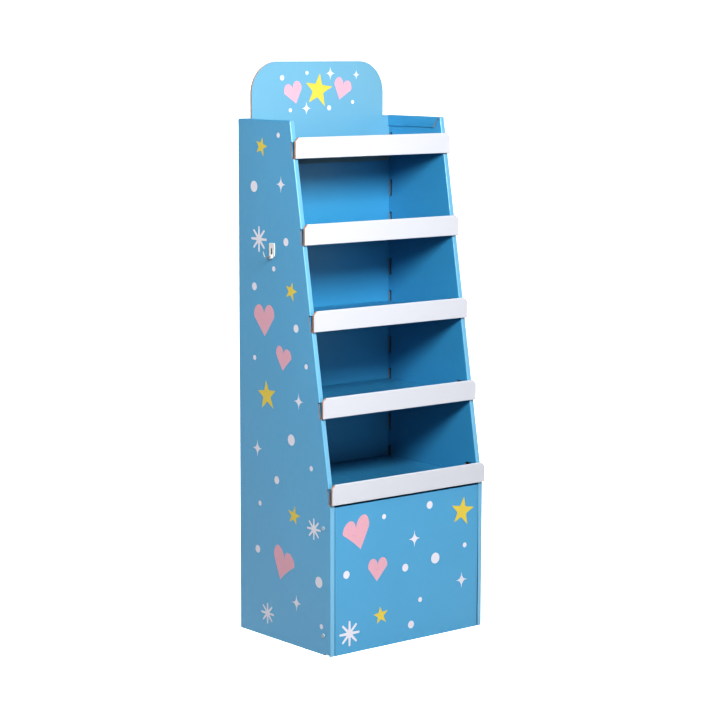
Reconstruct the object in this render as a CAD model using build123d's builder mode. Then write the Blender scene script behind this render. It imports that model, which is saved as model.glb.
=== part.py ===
"""Free-standing display stand folded from corrugated board: a body with double side walls,
a full-height back card that rises into a rounded header, five shelf trays with rolled lips,
a riveted plinth panel, a plinth brace and a small hook on the left side.

Frame: origin on the floor at the middle of the base, +Z up, the open front faces -Y.
Lengths are in millimetres.
"""
import os
from math import sqrt

from build123d import *

os.makedirs("parts", exist_ok=True)

# Driving dimensions -----------------------------------------------------------------------

# Boards and folds
board = 3.0                 # single-wall corrugated board
card_board = 6.0            # double-wall board of the back card and header
fold_radius = 2.5           # outer radius of a crease
flap_fold_radius = 1.25     # outer radius of the plinth panel's top crease
fit_gap = 0.3               # running clearance between two folded sheets
slip_gap = 0.4              # air between two layers of the same sheet

# Body
stand_width = 500.0
base_depth = 372.0
top_depth = 212.0
side_height = 1306.0
plinth_height = 373.0       # height of the upright front edge below the lean
wall = 14.0                 # a double side wall over both layers
flap_setback = 4.0          # top flap's front end behind the wall's front edge
flap_drop = 27.0            # how far the top flap hangs inside the bay
flap_slant = 19.0           # run of its slanted front end
foot_notch_length = 16.0
foot_notch_height = 4.0
foot_notch_setback = 2.0

# Header
header_rise = 141.0         # header's top above the sides
header_side_inset = 36.0    # header's sides inside the body's
header_radius = 80.0

# Shelves
shelf_count = 5
lowest_lip_gap = 5.5        # lowest lip's bottom edge above the plinth
top_shelf_drop = 91.5       # highest lip's bottom edge below the top of the sides
lip_height = 52.0
lip_proud = 8.0             # lip's front face ahead of the wall, at the lip's bottom edge
lip_chamfer = 10.0
deck_rise = 18.0            # top of the deck above the lip's bottom edge
deck_side_gap = 0.5
back_flange = 45.0
notch_depth = 6.0           # pushed-in stretch of the wall's front strip
notch_height = 40.0
hem_side_inset = 1.0

# Slots in the inner walls, and the deck tabs that go into the lower ones
slot_rise = 46.0            # top of a deck slot above the lip's bottom edge
front_slot_setback = 27.0   # behind the wall's front edge
front_slot_length = 23.0
rear_slot_setback = 3.0     # in front of the back card
rear_slot_length = 9.0
high_slot_rise = 88.0       # upper slot beside the back card, above the lip's bottom edge
high_slot_height = 44.0
tab_play = 1.0              # free length at each end of a tab
tab_reach = 4.0             # how far a tab stands past the inner wall

# Plinth panel
panel_side_gap = 1.0
panel_return = 70.0
panel_top_flap = 55.0
panel_flap_trim = 2.0       # top flap's ends inside the side returns

# Plinth brace
brace_width = 300.0
brace_rear_gap = 14.9       # between the brace and the lowest tray's back flange

# Plastic rivets
rivet_setback = 28.0
rivet_low_height = 49.0
rivet_high_drop = 55.0      # upper rivets below the plinth's top
rivet_head = 11.0
rivet_head_thick = 2.2
rivet_shank = 6.0
rivet_hole_gap = 0.2        # on the diameter
rivet_dimple = 5.0
rivet_dimple_depth = 0.8
rivet_edge_radius = 0.9

# Side hook
hook_drop = 319.0           # middle of its plate below the top of the sides
hook_setback = 141.0        # in front of the back face
hook_plate_width = 22.0
hook_plate_height = 34.0
hook_plate_thick = 2.5
hook_corner_radius = 4.0
hook_slot_width = 4.0
hook_slot_height = 16.0
hook_slot_drop = 4.0        # slot's middle below the plate's middle
hook_boss = 11.0
hook_boss_length = 7.0
hook_stud = 5.0
hook_stud_height = 10.0     # stud above the plate's middle
hook_stud_reach = 3.0       # past the board
hook_stud_cap = 8.0
hook_wire = 2.4
hook_wire_out = 14.0        # straight run out of the boss
hook_wire_bend = 5.0
hook_wire_up = 9.0

# Worked-out places ------------------------------------------------------------------------

through = 1.0               # how far a cutting shape runs past what it cuts
match = 0.01                # how near an edge lies to the place that picks it
half_width = stand_width / 2
back_y = base_depth / 2
front_y = -base_depth / 2
top_front_y = back_y - top_depth
lean = (top_front_y - front_y) / (side_height - plinth_height)
inner_x = half_width - wall                         # inner face of a side wall
flap_inner_x = inner_x - slip_gap - board
back_inner_y = back_y - board
card_front_y = back_inner_y - fit_gap - card_board
header_height = side_height + header_rise
header_width = stand_width - 2 * header_side_inset
first_shelf_level = plinth_height + lowest_lip_gap  # bottom edge of the lowest lip
shelf_pitch = (side_height - top_shelf_drop - first_shelf_level) / (shelf_count - 1)
shelf_levels = [first_shelf_level + shelf_pitch * step for step in range(shelf_count)]
rivet_y = front_y + rivet_setback
rivet_heights = (rivet_low_height, plinth_height - rivet_high_drop)
hook_y = back_y - hook_setback
hook_height = side_height - hook_drop


def wall_front(height, inset=0.0):
    """Y of the leaning front edge at a height, `inset` behind its face."""
    return front_y + inset * sqrt(1 + lean**2) + lean * (height - plinth_height)


def wall_outline(inset, rear, low, high):
    """Side elevation of a wall from y `rear` forwards, its front edge moved back by `inset`."""
    knee = plinth_height + inset * (1 - sqrt(1 + lean**2)) / lean
    return [
        (rear, low),
        (front_y + inset, low),
        (front_y + inset, knee),
        (wall_front(high, inset), high),
        (rear, high),
    ]


def strip_outline(level, shallow, deep):
    """Side elevation of the notched stretch of front strip, between two depths behind its face."""
    top = level + notch_height
    return [
        (wall_front(level, shallow), level),
        (wall_front(top, shallow), top),
        (wall_front(top, deep), top),
        (wall_front(level, deep), level),
    ]


def tab_slots(level):
    """Front and rear y of the two slots that take a deck's tabs: front slot, then rear slot."""
    front = wall_front(level) + front_slot_setback
    rear = card_front_y - rear_slot_setback
    return [(front, front + front_slot_length), (rear - rear_slot_length, rear)]


def side_plane(side, x):
    """Plane facing outwards at a distance x from the middle, on the left (-1) or right (1)."""
    return Plane(origin=(side * x, 0, 0), x_dir=(0, side, 0), z_dir=(side, 0, 0))


def side_box(side, x_low, x_high, y_low, y_high, z_low, z_high, mode=Mode.ADD):
    """Add or cut a box on one side, its x given as distance from the middle."""
    with BuildSketch(side_plane(side, x_low)) as outline:
        with Locations((side * (y_low + y_high) / 2, (z_low + z_high) / 2)):
            Rectangle(y_high - y_low, z_high - z_low)
    extrude(outline.sketch, amount=x_high - x_low, mode=mode)


def rivet_holes(side, x_low, x_high):
    """Drill one side's rivet holes between two distances from the middle."""
    with BuildSketch(side_plane(side, x_low)) as holes:
        with Locations(*[(side * rivet_y, height) for height in rivet_heights]):
            Circle((rivet_shank + rivet_hole_gap) / 2)
    extrude(holes.sketch, amount=x_high - x_low, mode=Mode.SUBTRACT)


def is_front_fold(edge):
    """True for an upright or leaning edge along the front of a side wall."""
    ends = edge.vertices()
    rise = abs(ends[0].Z - ends[-1].Z)
    run = abs(ends[0].Y - ends[-1].Y)
    return rise > run and edge.center().Y < top_front_y


def is_rivet_rim(edge):
    """True for the outer rim of a rivet head that faces away from the board."""
    outer = half_width + rivet_head_thick
    inner = inner_x - panel_side_gap - board - rivet_head_thick
    faces_away = min(abs(abs(edge.center().X) - place) for place in (outer, inner)) < match
    return faces_away and edge.radius > rivet_dimple


def is_top_fold(edge):
    """True for the outer side's top edge and the top edge of the flap inside the bay."""
    distance = abs(edge.center().X)
    return distance > half_width - match or distance < flap_inner_x + match


def finish(builder, name):
    """Label a finished piece and write it out."""
    builder.part.label = name
    export_step(builder.part, f"parts/{name}.step")


# Body wrap: back, outer sides, front strips, inner walls and top flaps of one folded sheet -----

flap_front_y = top_front_y + flap_setback
flap_rear_y = card_front_y - fit_gap
foot_notch_y = front_y + fold_radius + foot_notch_setback

with BuildPart() as body_wrap:
    for side in (-1, 1):
        with BuildSketch(Plane.YZ.offset(side * half_width)):
            Polygon(*wall_outline(0, back_y, 0, side_height), align=None)
        extrude(amount=-side * wall)
    with BuildSketch():
        with Locations((0, back_y - board / 2)):
            Rectangle(stand_width, board)
    extrude(amount=side_height)
    fillet(body_wrap.edges().filter_by(Axis.Z).group_by(Axis.Y)[-1], fold_radius)
    fillet(body_wrap.edges().filter_by(is_front_fold), fold_radius)

    # Hollow between the two layers of each wall, and the space that the back card takes
    for side in (-1, 1):
        with BuildSketch(Plane.YZ.offset(side * (half_width - board))):
            Polygon(
                *wall_outline(board, back_inner_y, -through, side_height + through),
                align=None,
            )
        extrude(amount=-side * (wall - 2 * board), mode=Mode.SUBTRACT)
    with BuildSketch(Plane.XY.offset(-through)):
        with Locations((0, (flap_rear_y + back_inner_y) / 2)):
            Rectangle(stand_width - 2 * board, back_inner_y - flap_rear_y)
    extrude(amount=side_height + 2 * through, mode=Mode.SUBTRACT)

    # Top flaps, folded over each wall and down inside the bay
    for side in (-1, 1):
        side_box(
            side, inner_x - through, half_width - board, flap_front_y, flap_rear_y,
            side_height - board - slip_gap, side_height + through, Mode.SUBTRACT,
        )
        side_box(
            side, flap_inner_x, half_width - board, flap_front_y, flap_rear_y,
            side_height - board, side_height,
        )
        with BuildSketch(Plane.YZ.offset(side * flap_inner_x)):
            Polygon(
                (flap_rear_y, side_height),
                (flap_rear_y, side_height - flap_drop),
                (flap_front_y + flap_slant, side_height - flap_drop),
                (flap_front_y, side_height),
                align=None,
            )
        extrude(amount=side * board)
    top_edges = body_wrap.edges().filter_by(Axis.Y).group_by(Axis.Z)[-1]
    fillet(top_edges.filter_by(is_top_fold), fold_radius)

    for level in shelf_levels:
        for side in (-1, 1):
            # Stretch of the front strip that is pushed in to seat the tray
            with BuildSketch(Plane.YZ.offset(side * (inner_x + board / 2))):
                Polygon(*strip_outline(level, 2 * board, notch_depth + board), align=None)
            extrude(amount=side * (wall - board))
            with BuildSketch(Plane.YZ.offset(side * (inner_x - through))):
                Polygon(*strip_outline(level, -through, notch_depth), align=None)
            extrude(amount=side * (wall + 2 * through), mode=Mode.SUBTRACT)
            # Slots in the inner wall for the deck's tabs
            for slot_low, slot_high in tab_slots(level):
                side_box(
                    side, inner_x - through, inner_x + board + through, slot_low, slot_high,
                    level + deck_rise - board, level + slot_rise, Mode.SUBTRACT,
                )
    for level in shelf_levels[:-1]:
        for side in (-1, 1):
            slot_low, slot_high = tab_slots(level)[-1]
            side_box(
                side, inner_x - through, inner_x + board + through, slot_low, slot_high,
                level + high_slot_rise, level + high_slot_rise + high_slot_height, Mode.SUBTRACT,
            )
    for side in (-1, 1):
        side_box(
            side, half_width - board - through, half_width + through,
            foot_notch_y, foot_notch_y + foot_notch_length,
            -through, foot_notch_height, Mode.SUBTRACT,
        )
        rivet_holes(side, inner_x - through, half_width + through)
    with BuildSketch(side_plane(-1, half_width - board - through)):
        with Locations((-hook_y, hook_height + hook_stud_height)):
            Circle((hook_stud + rivet_hole_gap) / 2)
    extrude(amount=board + 2 * through, mode=Mode.SUBTRACT)
finish(body_wrap, "body_wrap")


# Back card: full-height inner back that rises into the rounded header --------------------------

with BuildPart() as back_card:
    with BuildSketch(Plane.XZ.offset(-card_front_y)) as card_face:
        with Locations((0, header_height / 2)):
            Rectangle(header_width, header_height)
        fillet(card_face.vertices().group_by(Axis.Y)[-1], header_radius)
        with Locations((0, side_height / 2)):
            Rectangle(2 * (half_width - board - fit_gap), side_height)
    extrude(amount=-card_board)
finish(back_card, "back_card")


# Shelf trays: rolled double lip, hem, deck, back flange and side tabs of one folded sheet ------

def make_tray(level):
    """Build the tray whose lip starts at a height."""
    lip_front_y = wall_front(level) - lip_proud
    lip_rear_y = lip_front_y + 2 * board + slip_gap
    deck_top = level + deck_rise
    deck_half_width = inner_x - deck_side_gap
    hem_rear_y = wall_front(level, notch_depth) - fit_gap

    with BuildPart() as tray:
        # Lip, with its top corners cut off
        with BuildSketch(Plane.XZ.offset(-lip_front_y)) as lip_face:
            with Locations((0, level + lip_height / 2)):
                Rectangle(stand_width, lip_height)
            chamfer(lip_face.vertices().group_by(Axis.Y)[-1], lip_chamfer)
        extrude(amount=lip_front_y - lip_rear_y)
        long_folds = tray.edges().filter_by(Axis.X)
        fillet(long_folds.group_by(Axis.Z)[-1], fold_radius)
        fillet(long_folds.group_by(Axis.Z)[0].sort_by(Axis.Y)[0], fold_radius)
        # Air between the two layers of the lip
        with BuildSketch(Plane.YZ.offset(-half_width - through)):
            with Locations((lip_front_y + board + slip_gap / 2, level + lip_height / 2)):
                Rectangle(slip_gap, lip_height - 2 * board)
        extrude(amount=stand_width + 2 * through, mode=Mode.SUBTRACT)
        # Hem that sits in the wall's notches
        with BuildSketch(Plane.XY.offset(level)):
            with Locations((0, (lip_rear_y - board + hem_rear_y) / 2)):
                Rectangle(2 * (half_width - hem_side_inset), hem_rear_y - lip_rear_y + board)
        extrude(amount=board)
        # Deck and back flange
        with BuildSketch(Plane.XY.offset(deck_top - board)):
            with Locations((0, (lip_rear_y - board / 2 + flap_rear_y) / 2)):
                Rectangle(2 * deck_half_width, flap_rear_y - lip_rear_y + board / 2)
        extrude(amount=board)
        with BuildSketch(Plane.XY.offset(deck_top)):
            with Locations((0, flap_rear_y - board / 2)):
                Rectangle(2 * deck_half_width, board)
        extrude(amount=-back_flange)
        rear_edges = tray.edges().filter_by(Axis.X).group_by(Axis.Y)[-1]
        fillet(rear_edges.group_by(Axis.Z)[-1], fold_radius)
        # Side tabs in the wall's slots
        for side in (-1, 1):
            for slot_low, slot_high in tab_slots(level):
                side_box(
                    side, deck_half_width - board, inner_x + board + tab_reach,
                    slot_low + tab_play, slot_high - tab_play, deck_top - board, deck_top,
                )
    return tray


for number, level in enumerate(shelf_levels, start=1):
    finish(make_tray(level), f"shelf_tray_{number}")


# Plinth panel: front, two side returns and a top flap of one folded sheet ----------------------

panel_half_width = inner_x - panel_side_gap

with BuildPart() as plinth_panel:
    with BuildSketch():
        with Locations((0, front_y + panel_return / 2)):
            Rectangle(2 * panel_half_width, panel_return)
        with Locations((0, front_y + board + panel_return / 2)):
            Rectangle(2 * (panel_half_width - board), panel_return, mode=Mode.SUBTRACT)
    extrude(amount=plinth_height)
    with BuildSketch(Plane.XY.offset(plinth_height)):
        with Locations((0, front_y + panel_top_flap / 2)):
            Rectangle(2 * (panel_half_width - board - panel_flap_trim), panel_top_flap)
    extrude(amount=-board)
    panel_edges = plinth_panel.edges()
    fillet(panel_edges.filter_by(Axis.Z).group_by(Axis.Y)[0], fold_radius)
    top_front = plinth_panel.edges().filter_by(Axis.X).group_by(Axis.Z)[-1]
    fillet(top_front.group_by(Axis.Y)[0], flap_fold_radius)
    for side in (-1, 1):
        rivet_holes(side, panel_half_width - board - through, panel_half_width + through)
finish(plinth_panel, "plinth_panel")


# Plinth brace: sheet folded into a channel that stands under the lowest deck -------------------

brace_front_y = -board / 2          # front sheet stands across the middle of the base
brace_depth = flap_rear_y - board - brace_rear_gap - brace_front_y
brace_height = first_shelf_level + deck_rise - board - fit_gap

with BuildPart() as plinth_brace:
    with BuildSketch():
        with Locations((0, brace_front_y + brace_depth / 2)):
            Rectangle(brace_width, brace_depth)
        with Locations((0, brace_front_y + board + brace_depth / 2)):
            Rectangle(brace_width - 2 * board, brace_depth, mode=Mode.SUBTRACT)
    extrude(amount=brace_height)
    fillet(plinth_brace.edges().filter_by(Axis.Z).group_by(Axis.Y)[0], fold_radius)
finish(plinth_brace, "plinth_brace")


# Plastic rivets: four push rivets through the walls and the plinth panel's returns -------------

shank_inner_x = panel_half_width - board

with BuildPart() as plinth_rivets:
    for side in (-1, 1):
        for height in rivet_heights:
            spot = (side * rivet_y, height)
            with BuildSketch(side_plane(side, shank_inner_x)):
                with Locations(spot):
                    Circle(rivet_shank / 2)
            extrude(amount=half_width - shank_inner_x)
            for face_x, reach in ((half_width, rivet_head_thick), (shank_inner_x, -rivet_head_thick)):
                with BuildSketch(side_plane(side, face_x)):
                    with Locations(spot):
                        Circle(rivet_head / 2)
                extrude(amount=reach)
            with BuildSketch(side_plane(side, half_width + rivet_head_thick)):
                with Locations(spot):
                    Circle(rivet_dimple / 2)
            extrude(amount=-rivet_dimple_depth, mode=Mode.SUBTRACT)
    rims = plinth_rivets.edges().filter_by(GeomType.CIRCLE)
    fillet(rims.filter_by(is_rivet_rim), rivet_edge_radius)
finish(plinth_rivets, "plinth_rivets")


# Side hook: moulded plate with a boss below and a snap stud behind, and its wire prong ---------

hook_face_x = half_width + hook_plate_thick
boss_height = hook_height - hook_plate_height / 2

with BuildPart() as side_hook:
    with BuildSketch(side_plane(-1, half_width)):
        with Locations((-hook_y, hook_height)):
            RectangleRounded(hook_plate_width, hook_plate_height, hook_corner_radius)
        with Locations((-hook_y, hook_height - hook_slot_drop)):
            SlotOverall(hook_slot_height, hook_slot_width, rotation=90, mode=Mode.SUBTRACT)
    extrude(amount=hook_plate_thick)
    with BuildSketch(side_plane(-1, half_width)):
        with Locations((-hook_y, boss_height)):
            Circle(hook_boss / 2)
    extrude(amount=hook_boss_length)
    with BuildSketch(side_plane(-1, half_width - board - hook_stud_reach)):
        with Locations((-hook_y, hook_height + hook_stud_height)):
            Circle(hook_stud / 2)
    extrude(amount=board + hook_stud_reach)
    with BuildSketch(side_plane(-1, half_width - board - hook_stud_reach)):
        with Locations((-hook_y, hook_height + hook_stud_height)):
            Circle(hook_stud_cap / 2)
    extrude(amount=hook_stud_reach - fit_gap)
    with BuildSketch(side_plane(-1, hook_face_x)):
        with Locations((-hook_y, boss_height)):
            Circle((hook_wire + rivet_hole_gap) / 2)
    extrude(amount=hook_boss_length, mode=Mode.SUBTRACT)
finish(side_hook, "side_hook")

with BuildPart() as hook_prong:
    with BuildLine() as prong_route:
        start = (-hook_face_x, hook_y, boss_height)
        elbow = (-hook_face_x - hook_boss_length - hook_wire_out, hook_y, boss_height)
        tip = (elbow[0] - hook_wire_bend, hook_y, boss_height + hook_wire_bend + hook_wire_up)
        FilletPolyline(start, elbow, tip, radius=hook_wire_bend)
    with BuildSketch(Plane(origin=start, z_dir=(-1, 0, 0))):
        Circle(hook_wire / 2)
    sweep()
finish(hook_prong, "hook_prong")
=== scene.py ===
"""Looks of a free-standing display stand folded from printed corrugated board.

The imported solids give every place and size. Each sheet of board is a dressed copy of its solid: its
printed, white, plain and cut faces have their own finish, and each cut edge is hollowed out between
its two liners and filled with a real fluted medium. Lengths are in metres, +Z is up and the open
front faces -Y.
"""

import logging
import math
from collections.abc import Callable, Iterable
from dataclasses import dataclass, replace
from enum import Enum
from functools import lru_cache
from typing import ClassVar

import bmesh
import bpy
from mathutils import Matrix, Vector


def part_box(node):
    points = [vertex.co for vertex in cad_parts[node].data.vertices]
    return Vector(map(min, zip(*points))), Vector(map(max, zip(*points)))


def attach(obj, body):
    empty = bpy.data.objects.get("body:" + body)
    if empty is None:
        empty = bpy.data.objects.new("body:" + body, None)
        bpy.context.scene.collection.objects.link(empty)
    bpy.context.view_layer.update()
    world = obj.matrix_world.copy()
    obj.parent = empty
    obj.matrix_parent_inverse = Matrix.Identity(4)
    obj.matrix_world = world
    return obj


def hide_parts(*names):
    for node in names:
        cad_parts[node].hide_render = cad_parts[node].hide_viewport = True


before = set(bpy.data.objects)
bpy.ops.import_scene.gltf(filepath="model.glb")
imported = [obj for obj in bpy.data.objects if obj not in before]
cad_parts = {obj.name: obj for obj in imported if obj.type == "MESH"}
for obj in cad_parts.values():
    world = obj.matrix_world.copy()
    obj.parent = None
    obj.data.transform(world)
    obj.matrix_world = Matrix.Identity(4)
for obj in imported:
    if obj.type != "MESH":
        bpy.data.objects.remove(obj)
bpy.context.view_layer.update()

log = logging.getLogger("display_stand")
Colour = tuple[float, float, float]
BODY = "root"
SKY_BLUE: Colour = (0.058, 0.296, 0.495)
# Paler blue of the header's front: painted light on the same blue print.
HEADER_BLUE_PAINTED_LIGHT: Colour = (0.145, 0.345, 0.470)
# Lighter blue of the front strips: a painted highlight on the same blue print.
FOLD_BLUE_PAINTED_HIGHLIGHT: Colour = (0.135, 0.370, 0.535)
SMOOTH_ANGLE = math.radians(32)
FLAT_ANGLE = math.radians(0.5)
PER_METRE = 1000
CENTIMETRE = 10

# How much of a face's normal lies along an axis: it looks along it, slants to it, or is square to it.
FACING = 0.9
SLANTING = 0.5
LEANING = 0.3
SQUARE = 0.05


# Sizes ------------------------------------------------------------------------------------------

@lru_cache(maxsize=None)
def node_box(node: str) -> tuple[Vector, Vector]:
    """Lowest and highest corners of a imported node, measured once.

    Args:
        node: The node's name.

    Returns:
        The two corners.
    """
    low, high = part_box(node)
    return Vector(low), Vector(high)


class Flutes(Enum):
    """Which way a sheet's flutes run, as the direction that the wave travels in."""

    UPRIGHT = (1.0, 1.0, 0.0)
    ACROSS = (0.0, 1.0, 1.0)


class Role(Enum):
    """What a face of a folded sheet is."""

    PRINT = "print"
    FOLD = "fold"
    HEADER = "header"
    LIP = "lip"
    PLAIN = "plain"
    KRAFT = "kraft"
    CUT = "cut"
    HOLLOW = "hollow"


@dataclass(frozen=True)
class StandSizes:
    """Sizes shared by the stand's pieces, in metres."""

    board: float = 0.003
    card_board: float = 0.006
    wall: float = 0.014
    lip_height: float = 0.052
    lip_thick: float = 0.0064
    deck_rise: float = 0.018
    flap_drop: float = 0.027
    flute_pitch: float = 0.0064
    liner: float = 0.0004
    tiny: float = 0.0002
    on_plane: float = 0.00001
    weld: float = 0.000002

    @property
    def half_width(self) -> float:
        """Distance of the body's outer side from the middle."""
        return node_box("body_wrap")[1].x

    @property
    def side_height(self) -> float:
        """Height of the body's sides."""
        return node_box("body_wrap")[1].z

    @property
    def front_y(self) -> float:
        """Y of the plinth's front face."""
        return node_box("body_wrap")[0].y

    @property
    def plinth_height(self) -> float:
        """Height at which the front edge begins to lean."""
        return node_box("plinth_panel")[1].z

    @property
    def card_front(self) -> float:
        """Y of the back card's front face."""
        return node_box("back_card")[0].y

    @property
    def inner_x(self) -> float:
        """Distance of a side wall's inner face from the middle."""
        return self.half_width - self.wall

    @property
    def lean(self) -> float:
        """How far the front edge moves back for each unit of height."""
        low, high = node_box("shelf_tray_1")[0], node_box("shelf_tray_5")[0]
        return (high.y - low.y) / (high.z - low.z)

    def wall_front(self, height: float) -> float:
        """Y of the front edge at a height.

        Args:
            height: Height above the floor.

        Returns:
            The front face's y there.
        """
        return self.front_y + self.lean * max(0.0, height - self.plinth_height)


SIZES = StandSizes()


# Finishes ---------------------------------------------------------------------------------------

class ShaderSheet:
    """The nodes of one material, laid out by short calls."""

    def __init__(self, name: str) -> None:
        """Start a material that holds one Principled shader."""
        self.material = bpy.data.materials.new(name)
        self.material.use_nodes = True
        self.tree = self.material.node_tree
        self.shader = self.tree.nodes["Principled BSDF"]

    def node(self, kind: str, **settings: object) -> bpy.types.Node:
        """Add a node.

        Args:
            kind: Blender's name of the node type.
            settings: Properties set on the new node.

        Returns:
            The new node.
        """
        made = self.tree.nodes.new(kind)
        for key, value in settings.items():
            setattr(made, key, value)
        return made

    def feed(self, target: bpy.types.NodeSocket, source: object) -> None:
        """Give an input a value, or link an output to it."""
        if isinstance(source, bpy.types.NodeSocket):
            self.tree.links.new(source, target)
        else:
            target.default_value = source

    def math(self, operation: str, first: object, second: object = 0.0) -> bpy.types.NodeSocket:
        """Add a Math node and return its output."""
        made = self.node("ShaderNodeMath", operation=operation)
        self.feed(made.inputs[0], first)
        self.feed(made.inputs[1], second)
        return made.outputs[0]

    def place(self) -> bpy.types.NodeSocket:
        """Object coordinates of the shaded point."""
        return self.node("ShaderNodeTexCoord").outputs["Object"]

    def noise(self, scale: float, detail: float, stretch: Colour = (1, 1, 1)) -> bpy.types.NodeSocket:
        """Add a noise on Object coordinates.

        Args:
            scale: Noise cells in a metre.
            detail: Octaves.
            stretch: Scale along each axis.

        Returns:
            The noise value, from 0 to 1.
        """
        mapping = self.node("ShaderNodeMapping")
        self.feed(mapping.inputs["Vector"], self.place())
        mapping.inputs["Scale"].default_value = stretch
        made = self.node("ShaderNodeTexNoise")
        self.feed(made.inputs["Vector"], mapping.outputs[0])
        made.inputs["Scale"].default_value = scale
        made.inputs["Detail"].default_value = detail
        return made.outputs["Fac"]

    def along(self, direction: Colour) -> bpy.types.NodeSocket:
        """Distance of the shaded point along a direction."""
        made = self.node("ShaderNodeVectorMath", operation="DOT_PRODUCT")
        self.feed(made.inputs[0], self.place())
        made.inputs[1].default_value = direction
        return made.outputs["Value"]

    def ramp(self, value: object, low: float, high: float, to: tuple[float, float]) -> bpy.types.NodeSocket:
        """Map a range of values to another, with both ends held."""
        made = self.node("ShaderNodeMapRange")
        self.feed(made.inputs["Value"], value)
        for name, number in (("From Min", low), ("From Max", high), ("To Min", to[0]), ("To Max", to[1])):
            made.inputs[name].default_value = number
        return made.outputs["Result"]

    def blend(self, factor: object, first: object, second: object) -> bpy.types.NodeSocket:
        """Mix two colours and return the mixed one."""
        made = self.node("ShaderNodeMix", data_type="RGBA")
        self.feed(made.inputs["Factor"], factor)
        colours = [s for s in made.inputs if s.type == "RGBA"]
        self.feed(colours[0], first)
        self.feed(colours[1], second)
        return next(s for s in made.outputs if s.type == "RGBA")

    def dress(self, colour: object, rough: object) -> None:
        """Give the shader its colour and its roughness."""
        self.feed(self.shader.inputs["Base Color"], colour)
        self.feed(self.shader.inputs["Roughness"], rough)

    def bump(self, height: object, distance: float, strength: float) -> None:
        """Raise the surface by a height, in metres at full strength."""
        made = self.node("ShaderNodeBump")
        made.inputs["Distance"].default_value = distance
        made.inputs["Strength"].default_value = strength
        self.feed(made.inputs["Height"], height)
        self.feed(self.shader.inputs["Normal"], made.outputs["Normal"])


def opaque(colour: Colour, gain: float = 1.0) -> tuple[float, float, float, float]:
    """A colour with full alpha, made lighter or darker by a gain."""
    return tuple(min(1.0, part * gain) for part in colour) + (1.0,)


@dataclass(frozen=True)
class CoatedBoard:
    """Corrugated board with a coated or printed liner, through which its flutes show faintly."""

    name: str
    colour: Colour
    flutes: Flutes
    shift: float = 0.035
    rough: tuple[float, float] = (0.40, 0.52)
    washboard: float = 0.10
    gloss: float = 0.5
    wave_tone: float = 0.06
    fibre_height: float = 0.12
    coat_rough: float = 0.38

    def make(self) -> bpy.types.Material:
        """Build the material.

        Returns:
            The new material.
        """
        sheet = ShaderSheet(self.name)
        turn = sheet.math("MULTIPLY", sheet.along(self.flutes.value), 2 * math.pi / SIZES.flute_pitch)
        wave = sheet.math("SINE", turn)
        tone = sheet.math("ADD", sheet.math("MULTIPLY", wave, self.wave_tone), sheet.noise(4.0, 3.0))
        light, dark = opaque(self.colour, 1 + self.shift), opaque(self.colour, 1 - self.shift)
        cloudy = sheet.blend(sheet.ramp(tone, 0.25, 0.75, (0, 1)), dark, light)
        sheet.dress(cloudy, sheet.ramp(sheet.noise(60.0, 2.0), 0.3, 0.7, self.rough))
        fibre = sheet.math("MULTIPLY", sheet.noise(900.0, 4.0), self.fibre_height)
        sheet.bump(sheet.math("ADD", sheet.math("MULTIPLY", wave, self.washboard), fibre), 0.0004, 0.35)
        sheet.shader.inputs["Coat Weight"].default_value = self.gloss
        sheet.shader.inputs["Coat Roughness"].default_value = self.coat_rough
        return sheet.material


@dataclass(frozen=True)
class KraftPaper:
    """Uncoated brown paper, with long fibres and dark flecks."""

    name: str
    colour: Colour
    dark: float = 0.7

    def make(self) -> bpy.types.Material:
        """Build the material.

        Returns:
            The new material.
        """
        sheet = ShaderSheet(self.name)
        fibre = sheet.noise(350.0, 6.0, (1.0, 1.0, 0.25))
        fleck = sheet.ramp(sheet.noise(1400.0, 2.0), 0.62, 0.72, (0, 0.5))
        dark, darkest = opaque(self.colour, self.dark), opaque(self.colour, self.dark / 2)
        paper = sheet.blend(sheet.ramp(fibre, 0.3, 0.7, (0, 1)), dark, opaque(self.colour))
        sheet.dress(sheet.blend(fleck, paper, darkest), sheet.ramp(fibre, 0.2, 0.8, (0.8, 0.95)))
        sheet.bump(fibre, 0.0003, 0.4)
        return sheet.material


@dataclass(frozen=True)
class Ink:
    """A flat printed ink, uneven over the board's fibres, with small specks where it missed."""

    name: str
    colour: Colour
    missed: float = 0.12

    def make(self) -> bpy.types.Material:
        """Build the material.

        Returns:
            The new material.
        """
        sheet = ShaderSheet(self.name)
        lay = sheet.noise(700.0, 3.0)
        speck = sheet.ramp(sheet.noise(420.0, 2.0), 0.60, 0.68, (0, self.missed))
        thick, thin = opaque(self.colour, 0.93), opaque(self.colour, 1.03)
        inked = sheet.blend(sheet.ramp(lay, 0.3, 0.7, (0, 1)), thick, thin)
        sheet.dress(sheet.blend(speck, inked, opaque(SKY_BLUE)), sheet.ramp(lay, 0.2, 0.8, (0.42, 0.55)))
        sheet.bump(lay, 0.0002, 0.15)
        return sheet.material


@dataclass(frozen=True)
class Moulded:
    """A moulded plastic or drawn wire with a fine surface."""

    name: str
    colour: Colour
    rough: float
    metal: float = 0.0
    rough_range: float = 0.12

    def make(self) -> bpy.types.Material:
        """Build the material.

        Returns:
            The new material.
        """
        sheet = ShaderSheet(self.name)
        sheet.shader.inputs["Metallic"].default_value = self.metal
        skin = sheet.noise(800.0, 3.0)
        mottled = sheet.blend(skin, opaque(self.colour, 0.94), opaque(self.colour, 1.02))
        sheet.dress(mottled, sheet.ramp(skin, 0.2, 0.8, (self.rough, self.rough + self.rough_range)))
        sheet.bump(skin, 0.0001, 0.2)
        return sheet.material


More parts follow.
